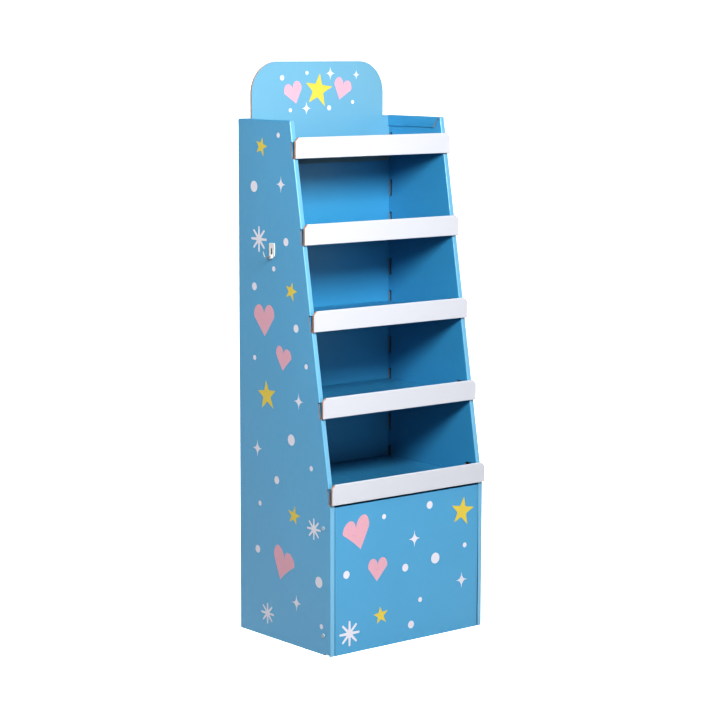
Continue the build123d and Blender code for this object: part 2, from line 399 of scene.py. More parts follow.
FINISHES = {
    "upright_print": CoatedBoard("sky_blue_print_upright", SKY_BLUE, Flutes.UPRIGHT),
    # The front strips: a glossier coat, which is real, and a lighter blue, which is a painted highlight.
    "fold_print_painted_highlight": CoatedBoard(
        "sky_blue_print_folds_painted_highlight",
        FOLD_BLUE_PAINTED_HIGHLIGHT,
        Flutes.UPRIGHT,
        shift=0.05,
        rough=(0.28, 0.38),
        washboard=0.05,
        gloss=0.9,
    ),
    # The header's front above the top deck: the same print painted paler, as painted light.
    "header_print_painted_light": CoatedBoard("sky_blue_print_header_painted_light", HEADER_BLUE_PAINTED_LIGHT, Flutes.UPRIGHT),
    "across_print": CoatedBoard("sky_blue_print_across", SKY_BLUE, Flutes.ACROSS),
    "lip_white": CoatedBoard(
        "white_lip_coating",
        (0.52, 0.53, 0.575),
        Flutes.ACROSS,
        shift=0.012,
        rough=(0.32, 0.42),
        washboard=0.07,
    ),
    # The unprinted white liner, coloured dark teal: painted shade and a painted blue reflection.
    "white_liner_painted_shade": CoatedBoard(
        "white_liner_painted_shade_and_reflection", (0.17, 0.26, 0.29), Flutes.ACROSS, shift=0.04, rough=(0.7, 0.85), gloss=0.0
    ),
    "kraft": KraftPaper("kraft_liner", (0.42, 0.27, 0.16)),
    "cut_edge": KraftPaper("cut_board_edge", (0.46, 0.26, 0.17)),
    "card_edge": KraftPaper("card_cut_edge", (0.62, 0.40, 0.29)),
    # The two flute hollows are darker browns than their cut edges: painted shade down in the flutes.
    "card_hollow_painted_shade": KraftPaper("card_flute_hollow_painted_shade", (0.40, 0.24, 0.16)),
    "hollow": KraftPaper("flute_hollow_painted_shade", (0.26, 0.14, 0.085)),
    "pink": Ink("pink_ink", (0.68, 0.38, 0.45), 0.45),
    "yellow": Ink("yellow_ink", (0.66, 0.52, 0.075)),
    "white": Ink("white_ink", (0.70, 0.68, 0.74)),
    "plastic": Moulded("white_moulded_plastic", (0.66, 0.66, 0.65), 0.30),
    # Near-black inside the hook's slot is painted shade.
    "slot_painted_shade": Moulded("hook_slot_painted_shade", (0.035, 0.035, 0.04), 0.6),
    "rivet": Moulded("clear_moulded_rivet", (0.40, 0.46, 0.50), 0.25),
    "wire": Moulded("zinc_plated_wire", (0.52, 0.48, 0.42), 0.32, 1.0),
}


class FinishShelf:
    """Makes each finish once and hands it out by name."""

    def __init__(self) -> None:
        """Start with no material made."""
        self.made: dict[str, bpy.types.Material] = {}

    def get(self, key: str) -> bpy.types.Material:
        """Return a finish's material.

        Args:
            key: The finish's name in FINISHES.

        Returns:
            The material, made on first use.
        """
        if key not in self.made:
            self.made[key] = FINISHES[key].make()
        return self.made[key]


def settle(piece: bpy.types.Object, slot: str, *nodes: str) -> bpy.types.Object:
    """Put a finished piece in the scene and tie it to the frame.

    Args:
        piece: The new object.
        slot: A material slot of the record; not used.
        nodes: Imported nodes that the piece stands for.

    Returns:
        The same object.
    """
    bpy.context.scene.collection.objects.link(piece)
    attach(piece, BODY)
    if nodes:
        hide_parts(*nodes)
    return piece


# Meshes -----------------------------------------------------------------------------------------

def clean_copy(node: str) -> bmesh.types.BMesh:
    """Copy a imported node's mesh with its triangles merged into whole faces."""
    mesh = bmesh.new()
    mesh.from_mesh(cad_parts[node].data)
    bmesh.ops.remove_doubles(mesh, verts=mesh.verts, dist=SIZES.weld)
    bmesh.ops.dissolve_limit(
        mesh, angle_limit=FLAT_ANGLE, verts=mesh.verts, edges=mesh.edges, use_dissolve_boundaries=False
    )
    return mesh


def cast(name: str, mesh: bmesh.types.BMesh, finishes: Iterable[bpy.types.Material]) -> bpy.types.Object:
    """Turn a finished bmesh, which is freed, into an object with its materials."""
    data = bpy.data.meshes.new(name)
    mesh.to_mesh(data)
    mesh.free()
    for finish in finishes:
        data.materials.append(finish)
    return bpy.data.objects.new(name, data)


def shade_folds(piece: bpy.types.Object) -> None:
    """Keep the folds sharp and shade the rest by the size of its faces."""
    piece.data.set_sharp_from_angle(angle=SMOOTH_ANGLE)
    piece.modifiers.new("fold_shading", "WEIGHTED_NORMAL").keep_sharp = True


@dataclass(frozen=True)
class Crease:
    """A straight crease pressed into a sheet.

    Its direction points across the crease, and its middle is its place that way. The wanted test takes the
    centre and the normal of each face that the crease may cut.
    """

    direction: Vector
    middle: float
    half: float
    wanted: Callable[[Vector, Vector], bool]

    def cut(self, mesh: bmesh.types.BMesh) -> None:
        """Cut the two edges and the middle line of the crease."""
        for offset in (-self.half, 0.0, self.half):
            faces = [f for f in mesh.faces if self.wanted(f.calc_center_median(), f.normal)]
            parts = {*faces, *(e for f in faces for e in f.edges), *(v for f in faces for v in f.verts)}
            spot = self.direction * (self.middle + offset)
            bmesh.ops.bisect_plane(
                mesh, geom=list(parts), plane_co=spot, plane_no=self.direction, dist=SIZES.on_plane
            )


# Sheets of board --------------------------------------------------------------------------------

@dataclass
class CutStrip:
    """One straight stretch of cut edge, with the frame that its flutes are laid in."""

    start: Vector
    along: Vector
    across: Vector
    inward: Vector
    length: float
    width: float
    misfit: ClassVar[float] = 0.12

    @classmethod
    def of(cls, face: bmesh.types.BMFace, thickness: float) -> "CutStrip | None":
        """Read a strip from a cut face.

        Args:
            face: A face whose role is CUT.
            thickness: The sheet's thickness.

        Returns:
            The strip, or None where the face isn't one sheet thick.
        """
        best = None
        for axis in (Vector((1, 0, 0)), Vector((0, 1, 0)), Vector((0, 0, 1))):
            if abs(face.normal.dot(axis)) > LEANING:
                continue
            reach = [v.co.dot(axis) for v in face.verts]
            miss = abs(max(reach) - min(reach) - thickness)
            if miss < cls.misfit * thickness and (best is None or miss < best[0]):
                best = (miss, axis, min(reach), max(reach))
        if best is None:
            return None
        _, across, low, high = best
        along = face.normal.cross(across).normalized()
        spans = [v.co.dot(along) for v in face.verts]
        length = max(spans) - min(spans)
        if length < 2 * SIZES.liner:
            return None
        centre = face.calc_center_median()
        start = centre + along * (min(spans) - centre.dot(along))
        start += across * ((low + high) / 2 - centre.dot(across))
        return cls(start, along, across, -face.normal.copy(), length, high - low)


@dataclass
class FluteFiller:
    """Fills a hollowed cut edge with the fluted medium."""

    flutes: Flutes
    layers: int = 1
    depth: float = 0.0016
    paper: float = 0.0003
    steps: int = 8

    def fill(self, mesh: bmesh.types.BMesh, strip: CutStrip, index: int) -> None:
        """Lay the medium of each layer, and the liner between two layers.

        Args:
            mesh: The sheet's mesh, which the medium joins.
            strip: The stretch of edge.
            index: The material index of the medium.
        """
        layer = strip.width / self.layers
        for number in range(self.layers):
            middle = (number + 0.5) * layer - strip.width / 2
            self.ribbon(mesh, strip, middle, (layer - 2 * SIZES.liner - self.paper) / 2, index)
        for number in range(1, self.layers):
            self.ribbon(mesh, strip, number * layer - strip.width / 2, 0.0, index)

    def ribbon(
        self, mesh: bmesh.types.BMesh, strip: CutStrip, middle: float, swing: float, index: int
    ) -> None:
        """Lay one paper ribbon along a strip.

        Args:
            mesh: The mesh that takes it.
            strip: The stretch of edge.
            middle: Its mean place across the strip.
            swing: Half the wave's height.
            index: Its material index.
        """
        travel = Vector(self.flutes.value)
        pace = abs(travel.dot(strip.along)) * strip.length * self.steps / SIZES.flute_pitch
        made = bmesh.ops.create_grid(mesh, x_segments=max(1, math.ceil(pace)), y_segments=1, size=0.5)
        inset = min(SIZES.liner, strip.length / 8)
        for vertex in made["verts"]:
            run = inset + (vertex.co.x + 0.5) * (strip.length - 2 * inset)
            sink = SIZES.tiny / 2 + (vertex.co.y + 0.5) * (self.depth - SIZES.tiny)
            spot = strip.start + strip.along * run + strip.inward * sink
            phase = 2 * math.pi * travel.dot(strip.start + strip.along * run) / SIZES.flute_pitch
            vertex.co = spot + strip.across * (middle + swing * math.sin(phase) - self.paper / 2)
        faces = list({face for vertex in made["verts"] for face in vertex.link_faces})
        for item in [*faces, *made["verts"]]:
            item.normal_update()
        thick = bmesh.ops.solidify(mesh, geom=faces, thickness=self.paper)
        for item in [*faces, *thick["geom"]]:
            if isinstance(item, bmesh.types.BMFace) and item.is_valid:
                item.material_index = index


@dataclass
class BoardPiece:
    """A folded sheet of corrugated board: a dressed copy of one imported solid."""

    name: str
    node: str
    slot: str
    thickness: float = SIZES.board
    flutes: Flutes = Flutes.UPRIGHT
    layers: int = 1
    looks: tuple[tuple[Role, str], ...] = (
        (Role.PRINT, "upright_print"),
        (Role.KRAFT, "kraft"),
        (Role.CUT, "cut_edge"),
        (Role.HOLLOW, "hollow"),
    )

    def role_of(self, normal: Vector, centre: Vector) -> Role:
        """Tell what a face of the sheet is.

        Args:
            normal: The face's normal.
            centre: The face's centre.

        Returns:
            Its role.
        """
        raise NotImplementedError

    def split_planes(self) -> list[tuple[Vector, Vector]]:
        """Planes, as point and normal, that part a face where its role changes."""
        return []

    def shape(self, mesh: bmesh.types.BMesh) -> None:
        """Change the copied shape before it is dressed."""

    def index_of(self, role: Role) -> int:
        """Place of a role's finish among the piece's materials."""
        return [entry[0] for entry in self.looks].index(role)

    def hollow_out(self, mesh: bmesh.types.BMesh) -> None:
        """Sink each cut edge between its liners and lay the medium in it."""
        cut, hollow = self.index_of(Role.CUT), self.index_of(Role.HOLLOW)
        edges = [face for face in mesh.faces if face.material_index == cut and len(face.verts) == 4]
        pairs = [(face, strip) for face in edges if (strip := CutStrip.of(face, self.thickness))]
        filler = FluteFiller(self.flutes, self.layers)
        faces = [face for face, _ in pairs]
        if not faces:
            return
        for rim, sink in ((SIZES.liner, 0.0), (0.0, -filler.depth)):
            bmesh.ops.inset_region(
                mesh, faces=faces, thickness=rim, depth=sink, use_even_offset=True, use_boundary=True
            )
        for face in faces:
            # The sunk floor takes the hollow finish, whose dark brown is painted shade.
            face.material_index = hollow
        for _, strip in pairs:
            filler.fill(mesh, strip, cut)

    def build(self, shelf: FinishShelf) -> bpy.types.Object:
        """Build the piece.

        Args:
            shelf: Where its finishes come from.

        Returns:
            The finished object.
        """
        mesh = clean_copy(self.node)
        self.shape(mesh)
        for point, normal in self.split_planes():
            everything = [*mesh.verts, *mesh.edges, *mesh.faces]
            bmesh.ops.bisect_plane(
                mesh, geom=everything, plane_co=point, plane_no=normal, dist=SIZES.on_plane
            )
        mesh.normal_update()
        for face in mesh.faces:
            face.material_index = self.index_of(self.role_of(face.normal, face.calc_center_median()))
            face.smooth = True
        self.hollow_out(mesh)
        piece = cast(self.name, mesh, (shelf.get(key) for _, key in self.looks))
        shade_folds(piece)
        return settle(piece, self.slot, self.node)


@dataclass
class BodyWrap(BoardPiece):
    """Back, double side walls, front strips and top flaps of one sheet."""

    name: str = "printed_body"
    node: str = "body_wrap"
    slot: str = "printed_board"
    looks: tuple[tuple[Role, str], ...] = (
        (Role.PRINT, "upright_print"),
        (Role.FOLD, "fold_print_painted_highlight"),
        (Role.KRAFT, "kraft"),
        (Role.CUT, "cut_edge"),
        (Role.HOLLOW, "hollow"),
    )
    crease_places: tuple[float, ...] = (0.112, 0.120)
    crease_half: float = 0.0013
    crease_depth: float = 0.0011
    fold_start: float = 0.0045
    strip_turn: float = 0.85
    level: float = 0.95

    def split_planes(self) -> list[tuple[Vector, Vector]]:
        """Planes between each wall's two sheets and the hollow that parts them."""
        edge = SIZES.half_width - SIZES.board
        inner = SIZES.inner_x + SIZES.board
        side = Vector((1, 0, 0))
        return [(side * place, side) for place in (edge, inner, -inner, -edge)]

    def shape(self, mesh: bmesh.types.BMesh) -> None:
        """Press the two creases into each top flap."""
        flap_x = SIZES.inner_x - SIZES.liner - SIZES.board
        for place in self.crease_places:
            Crease(Vector((0, 1, 0)), place, self.crease_half, self.on_flap).cut(mesh)
            for vertex in mesh.verts:
                near = abs(vertex.co.y - place) < SIZES.tiny and abs(abs(vertex.co.x) - flap_x) < SIZES.tiny
                if near and vertex.co.z > self.flap_end:
                    vertex.co.x += math.copysign(self.crease_depth, vertex.co.x)

    @property
    def flap_end(self) -> float:
        """Height above which the inner face belongs to a top flap."""
        return SIZES.side_height - SIZES.flap_drop - SIZES.tiny

    def on_flap(self, centre: Vector, normal: Vector) -> bool:
        """True for the face of a top flap that is seen from inside the bay."""
        inside = abs(centre.x) < SIZES.inner_x - SIZES.board
        return abs(normal.x) > FACING and inside and centre.z > self.flap_end

    def role_of(self, normal: Vector, centre: Vector) -> Role:
        """Tell printed faces from cut edges and the inside of the double walls."""
        out = abs(centre.x)
        edge, inner = SIZES.half_width - SIZES.board, SIZES.inner_x + SIZES.board
        behind = centre.y - SIZES.wall_front(centre.z)
        in_sheet = edge < out < SIZES.half_width or SIZES.inner_x < out < inner
        top = centre.z > SIZES.side_height - SIZES.tiny
        fold_front = SIZES.wall_front(SIZES.side_height) + self.fold_start
        if abs(normal.z) > self.level:
            on_fold = top and fold_front < centre.y < SIZES.card_front - SIZES.tiny
            return Role.PRINT if on_fold and normal.z > 0 else Role.CUT
        square = abs(normal.x) < SQUARE
        if square and in_sheet and behind > SIZES.board + SIZES.tiny and centre.y < SIZES.card_front:
            return Role.CUT
        if square and out < SIZES.inner_x - SIZES.tiny and centre.y < SIZES.card_front + SIZES.tiny:
            return Role.CUT
        between = inner - SIZES.tiny < out < edge + SIZES.tiny and centre.y < SIZES.card_front
        if between and (abs(normal.x) > FACING or normal.y > SLANTING):
            return Role.KRAFT
        if normal.y < -FACING and centre.y > SIZES.card_front:
            return Role.KRAFT
        # The front strips' turned faces take the fold finish, whose lighter blue is a painted highlight.
        on_strip = out > SIZES.inner_x - SIZES.tiny and behind < SIZES.board
        turned = normal.y < -LEANING and abs(normal.x) < self.strip_turn
        return Role.FOLD if on_strip and turned else Role.PRINT


@dataclass
class BackCard(BoardPiece):
    """Double-wall back card that rises into the rounded header."""

    name: str = "header_card"
    node: str = "back_card"
    slot: str = "header_board"
    thickness: float = SIZES.card_board
    layers: int = 2
    looks: tuple[tuple[Role, str], ...] = (
        (Role.PRINT, "upright_print"),
        (Role.HEADER, "header_print_painted_light"),
        (Role.CUT, "card_edge"),
        (Role.HOLLOW, "card_hollow_painted_shade"),
    )

    @property
    def header_foot(self) -> float:
        """Height at which the top deck meets the card."""
        top_level = node_box("shelf_tray_5")[1].z - SIZES.lip_height
        return top_level + SIZES.deck_rise - SIZES.board / 2

    def split_planes(self) -> list[tuple[Vector, Vector]]:
        """The plane of the top deck, above which the card is the header."""
        return [(Vector((0, 0, self.header_foot)), Vector((0, 0, 1)))]

    def role_of(self, normal: Vector, centre: Vector) -> Role:
        """Tell the two printed faces from the cut outline."""
        if abs(normal.y) < SLANTING:
            return Role.CUT
        # The front above the top deck takes the paler header blue, which is painted light.
        return Role.HEADER if normal.y < 0 and centre.z > self.header_foot else Role.PRINT


@dataclass
class ShelfTray(BoardPiece):
    """One tray: white rolled lip, hem, blue deck and plain flange of one sheet."""

    flutes: Flutes = Flutes.ACROSS
    looks: tuple[tuple[Role, str], ...] = (
        (Role.PRINT, "across_print"),
        (Role.LIP, "lip_white"),
        (Role.PLAIN, "white_liner_painted_shade"),
        (Role.CUT, "cut_edge"),
        (Role.HOLLOW, "hollow"),
    )

    @property
    def level(self) -> float:
        """Height of the lip's bottom edge."""
        return node_box(self.node)[1].z - SIZES.lip_height

    @property
    def lip_front(self) -> float:
        """Y of the lip's front face."""
        return node_box(self.node)[0].y

    def split_planes(self) -> list[tuple[Vector, Vector]]:
        """The plane between the lip's two layers."""
        return [(Vector((0, self.lip_front + SIZES.lip_thick / 2, 0)), Vector((0, 1, 0)))]

    def role_of(self, normal: Vector, centre: Vector) -> Role:
        """Tell the white lip, the printed deck, the plain underside and the cut edges."""
        deck_top = self.level + SIZES.deck_rise
        if abs(normal.x) > SLANTING:
            return Role.CUT
        if centre.y < self.lip_front + SIZES.lip_thick + SIZES.tiny and centre.z > self.level - SIZES.tiny:
            return Role.LIP
        if normal.z > LEANING and centre.z > deck_top - SIZES.board:
            return Role.PRINT
        if normal.z < -FACING and centre.z < self.level + SIZES.tiny:
            return Role.LIP if centre.z > self.level - SIZES.tiny else Role.CUT
        if normal.y > FACING and centre.y > node_box(self.node)[1].y - SIZES.board:
            return Role.PRINT
        if normal.y > FACING or (normal.y < -FACING and abs(centre.x) > SIZES.inner_x):
            return Role.CUT
        # Faces left here are the unprinted white liner, coloured dark teal as painted shade and painted
        # blue reflection.
        return Role.PLAIN


@dataclass
class PlinthPanel(BoardPiece):
    """Front of the plinth with its side returns and top flap."""

    name: str = "plinth_front"
    node: str = "plinth_panel"
    slot: str = "printed_board"
    crease_inset: float = 0.009
    crease_half: float = 0.0012
    crease_depth: float = 0.0007

    def shape(self, mesh: bmesh.types.BMesh) -> None:
        """Press a crease beside each side fold of the front."""
        low, high = node_box(self.node)
        for place in (low.x + self.crease_inset, high.x - self.crease_inset):
            Crease(Vector((1, 0, 0)), place, self.crease_half, self.on_front).cut(mesh)
            for vertex in mesh.verts:
                off_floor = vertex.co.y < low.y + SIZES.tiny and vertex.co.z > SIZES.board
                if off_floor and abs(vertex.co.x - place) < SIZES.tiny:
                    vertex.co.y += self.crease_depth

    def on_front(self, centre: Vector, normal: Vector) -> bool:
        """True for a face of the printed front."""
        return normal.y < -FACING and centre.y < node_box(self.node)[0].y + SIZES.tiny

    def role_of(self, normal: Vector, centre: Vector) -> Role:
        """Tell the printed outside from the bare inside and the cut edges."""
        low, high = node_box(self.node)
        if abs(normal.z) > FACING:
            inside = abs(centre.x) < high.x - SIZES.board
            under_flap = Role.KRAFT if centre.z > high.z / 2 else Role.CUT
            return Role.PRINT if normal.z > 0 and inside else under_flap
        if normal.y > FACING and (centre.y > high.y - SIZES.tiny or centre.z > high.z - SIZES.board):
            return Role.CUT
        in_return = abs(centre.x) > high.x - SIZES.board and centre.y > low.y + 2 * SIZES.board
        if abs(normal.x) < LEANING and in_return:
            return Role.CUT
        outward = normal.x * centre.x > 0 and abs(centre.x) > high.x - SIZES.board / 2
        return Role.PRINT if normal.y < -SQUARE or outward or normal.z > LEANING else Role.KRAFT


@dataclass
class PlinthBrace(BoardPiece):
    """Bare brown sheet that stands under the lowest deck."""

    name: str = "inner_brace"
    node: str = "plinth_brace"
    slot: str = "brace_board"

    def role_of(self, normal: Vector, centre: Vector) -> Role:
        """Tell the sheet's faces from its cut edges."""
        rear = normal.y > FACING and centre.y > node_box(self.node)[1].y - SIZES.tiny
        return Role.CUT if abs(normal.z) > FACING or rear else Role.KRAFT


# Print ------------------------------------------------------------------------------------------

class Motif(Enum):
    """The plain shapes of the print."""

    DOT = "dot"
    STAR = "star"
    SPARKLE = "sparkle"
    BURST = "burst"
    HEART = "heart"


@dataclass(frozen=True)
class Mark:
    """One printed shape: its motif, its place and size in millimetres, and its turn in degrees.

    In a heart, lift raises one lobe above the other and tip moves the foot sideways.
    """

    motif: Motif
    right: float
    up: float
    size: float
    turn: float = 0.0
    lift: float = 0.0
    tip: float = 0.0

    def mirrored(self) -> "Mark":
        """The same mark as its mirror image."""
        return replace(self, right=-self.right, turn=-self.turn, lift=-self.lift, tip=-self.tip)


@dataclass(frozen=True)
class PrintFace:
    """A flat face that takes print, with the directions seen by someone who looks at it."""

    origin: Vector
    right: Vector
    normal: Vector

    def matrix(self, mark: Mark) -> Matrix:
        """Place of a mark whose outline is drawn around the middle.

        Args:
            mark: The mark.

        Returns:
            The transform from the outline's plane to the face.
        """
        up = Vector((0, 0, 1))
        turned = Matrix.Rotation(math.radians(-mark.turn), 4, "Z")
        axes = Matrix((self.right, up, self.normal)).transposed().to_4x4()
        spot = self.origin + self.right * mark.right / PER_METRE + up * mark.up / PER_METRE
        return Matrix.Translation(spot) @ axes @ turned


@dataclass
class Printer:
    """Draws marks as thin layers of ink on a face."""

    ink: float = 0.0001
    sink: float = 0.00003
    star_waist: float = 0.39
    star_uneven: float = 0.06
    star_wander: float = 2.3
    star_blunt: float = 0.07
    burst_rays: int = 8
    burst_hub: float = 0.30
    burst_half_ray: float = 0.085
    burst_blunt: float = 0.04
    sparkle_power: float = 0.53
    sparkle_width: float = 0.87
    lobe_end: float = math.radians(118)
    lobe_turn: float = math.pi * 1.04
    lobe_base: float = 0.50
    lobe_rise: float = 1.30
    round_steps: int = 48

    def outline(self, mesh: bmesh.types.BMesh, mark: Mark) -> None:
        """Draw a mark's outline as one face.

        Args:
            mesh: The mesh that takes it.
            mark: The mark.
        """
        draw = {
            Motif.DOT: self.dot,
            Motif.STAR: self.star,
            Motif.SPARKLE: self.sparkle,
            Motif.BURST: self.burst,
            Motif.HEART: self.heart,
        }
        draw[mark.motif](mesh, mark.size / 2 / PER_METRE, mark)

    def ring(self, mesh: bmesh.types.BMesh, count: int, radius: float) -> list[bmesh.types.BMVert]:
        """A filled ring of vertices, in order round the middle from straight up."""
        made = bmesh.ops.create_circle(mesh, cap_ends=True, segments=count, radius=radius)["verts"]
        return sorted(made, key=lambda v: math.atan2(v.co.x, v.co.y) % (2 * math.pi - 1e-6))

    def dot(self, mesh: bmesh.types.BMesh, radius: float, mark: Mark) -> None:
        """A round dot."""
        self.ring(mesh, self.round_steps, radius)

    def star(self, mesh: bmesh.types.BMesh, radius: float, mark: Mark) -> None:
        """A five-pointed star with slightly blunt points."""
        verts = self.ring(mesh, 10, radius)
        for number, vertex in enumerate(verts):
            uneven = 1 + self.star_uneven * math.sin(self.star_wander * number + mark.right)
            vertex.co *= self.star_waist if number % 2 else uneven
        self.soften(mesh, verts, radius * self.star_blunt)

    def sparkle(self, mesh: bmesh.types.BMesh, radius: float, mark: Mark) -> None:
        """A four-pointed glint with hollow sides, a little taller than wide."""
        verts = self.ring(mesh, self.round_steps, radius)
        for vertex in verts:
            angle = math.atan2(vertex.co.x, vertex.co.y)
            spread = abs(math.sin(angle)) ** self.sparkle_power + abs(math.cos(angle)) ** self.sparkle_power
            vertex.co *= spread ** (-1 / self.sparkle_power)
            vertex.co.x *= self.sparkle_width

    def burst(self, mesh: bmesh.types.BMesh, radius: float, mark: Mark) -> None:
        """Short rays round a hub, each with two corners at its end and one in the gap beside it."""
        verts = self.ring(mesh, 3 * self.burst_rays, radius)
        for number, vertex in enumerate(verts):
            ray, corner = divmod(number, 3)
            angle = 2 * math.pi * (ray + corner / 2) / self.burst_rays + self.burst_half_ray * (1 - corner)
            reach = radius * self.burst_hub if corner == 1 else radius
            vertex.co = Vector((math.sin(angle), math.cos(angle), 0)) * reach
        self.soften(mesh, verts, radius * self.burst_blunt)

    def heart(self, mesh: bmesh.types.BMesh, radius: float, mark: Mark) -> None:
        """Two round lobes and a pointed foot, drawn a little unevenly by hand."""
        verts = self.ring(mesh, self.round_steps, radius)
        lobe = radius / 2
        for vertex in verts:
            angle = math.atan2(vertex.co.x, vertex.co.y)
            side = math.copysign(1.0, vertex.co.x) if abs(vertex.co.x) > 1e-9 else 0.0
            turn = self.lobe_turn * min(1.0, abs(angle) / self.lobe_end)
            height = lobe * (self.lobe_base + self.lobe_rise * math.sin(turn))
            spot = Vector((side * lobe * (1 - math.cos(turn)), height, 0))
            if abs(angle) > self.lobe_end:
                share = (abs(angle) - self.lobe_end) / (math.pi - self.lobe_end)
                spot = spot.lerp(Vector((mark.tip * radius, -radius, 0)), share)
            spot.y += mark.lift * spot.x * max(0.0, min(1.0, (spot.y + radius) / (2 * radius)))
            vertex.co = spot

    def soften(self, mesh: bmesh.types.BMesh, verts: list[bmesh.types.BMVert], amount: float) -> None:
        """Round an outline's corners."""
        bmesh.ops.bevel(
            mesh, geom=list(verts), offset=amount, affect="VERTICES", segments=3, profile=0.5, material=-1
        )

    def lay(
        self, name: str, face: PrintFace, marks: list[Mark], finish: bpy.types.Material, slot: str
    ) -> bpy.types.Object:
        """Print marks of one ink on a face.

        Args:
            name: Name of the new piece.
            face: The face that takes them.
            marks: The marks.
            finish: The ink.
            slot: The record's material slot.

        Returns:
            The finished piece.
        """
        whole = bmesh.new()
        for mark in marks:
            single = bmesh.new()
            self.outline(single, mark)
            flat = list(single.faces)
            grown = bmesh.ops.extrude_face_region(single, geom=flat)
            moved = [item for item in grown["geom"] if isinstance(item, bmesh.types.BMVert)]
            bmesh.ops.translate(single, verts=moved, vec=(0, 0, self.ink + self.sink))
            bmesh.ops.translate(single, verts=single.verts, vec=(0, 0, -self.sink))
            bmesh.ops.recalc_face_normals(single, faces=single.faces)
            bmesh.ops.transform(single, matrix=face.matrix(mark), verts=single.verts)
            bmesh.ops.recalc_face_normals(single, faces=single.faces)
            data = bpy.data.meshes.new("mark")
            single.to_mesh(data)
            single.free()
            whole.from_mesh(data)
            bpy.data.meshes.remove(data)
        return settle(cast(name, whole, (finish,)), slot)


@dataclass(frozen=True)
class MarkSizes:
    """Widths of the printed motifs, in millimetres."""

    small_dot: float = 13.0
    middle_dot: float = 20.0
    large_dot: float = 28.0
    sparkle: float = 43.0
    small_burst: float = 54.0
    large_burst: float = 64.0
    small_star: float = 50.0
    large_star: float = 80.0
    small_heart: float = 62.0
    large_heart: float = 84.0


PRINT_SIZES = MarkSizes()


def strewn(motif: Motif, size: float, *places: tuple[int, int]) -> list[Mark]:
    """Upright marks of one size.

    Args:
        motif: The motif that is repeated.
        size: Its width in millimetres.
        places: Where each one goes, in whole centimetres.

    Returns:
        One mark for each place.
    """
    return [Mark(motif, right * CENTIMETRE, up * CENTIMETRE, size) for right, up in places]


def side_marks() -> dict[str, list[Mark]]:
    """The scatter on a side, placed by distance forwards of the middle and height."""
    star, dot, heart, sizes = Motif.STAR, Motif.DOT, Motif.HEART, PRINT_SIZES
    return {
        "yellow": [
            Mark(star, -90, 1240, sizes.small_star, 15),
            Mark(star, 30, 890, sizes.small_star, 15),
            Mark(star, -70, 620, sizes.large_star, -5),
            Mark(star, 40, 330, sizes.small_star, 10),
        ],
        "pink": [
            Mark(heart, -80, 810, sizes.large_heart, 0, 0.05, 0.05),
            Mark(heart, 0, 720, sizes.small_heart, 0, -0.2, -0.15),
            Mark(heart, 0, 200, sizes.large_heart, 0, -0.35, -0.4),
        ],
        "white": [
            *strewn(dot, sizes.small_dot, (-2, 127), (-4, 94), (-12, 71), (9, 71)),
            *strewn(dot, sizes.small_dot, (11, 46), (-10, 34), (15, 7)),
            *strewn(dot, sizes.middle_dot, (1, 101), (-12, 89), (5, 80), (-3, 41), (-11, 22)),
            *strewn(dot, sizes.large_dot, (-12, 114), (3, 52), (14, 18)),
            *strewn(Motif.SPARKLE, sizes.sparkle, (-1, 115), (6, 62), (-11, 48), (5, 11)),
            *strewn(Motif.BURST, sizes.large_burst, (-10, 101)),
            *strewn(Motif.BURST, sizes.small_burst, (12, 31), (-7, 6)),
        ],
    }


def front_marks() -> dict[str, list[Mark]]:
    """The scatter on the plinth's front, placed by distance right of the middle and height."""
    star, dot, heart, sizes = Motif.STAR, Motif.DOT, Motif.HEART, PRINT_SIZES
    return {
        "yellow": [Mark(star, 180, 310, sizes.large_star, 10), Mark(star, -90, 80, sizes.small_star, -5)],
        "pink": [
            Mark(heart, -170, 300, sizes.large_heart, 0, 0.3, 0.35),
            Mark(heart, -100, 200, sizes.small_heart, 0, 0.0, -0.1),
        ],
        "white": [
            *strewn(dot, sizes.small_dot, (-8, 33), (19, 22), (4, 10)),
            *strewn(dot, sizes.middle_dot, (7, 34), (-20, 20), (-1, 19), (1, 4)),
            *strewn(dot, sizes.large_dot, (9, 20)),
            *strewn(Motif.SPARKLE, sizes.sparkle, (2, 26), (18, 13)),
            *strewn(Motif.BURST, sizes.large_burst, (-19, 5)),
        ],
    }


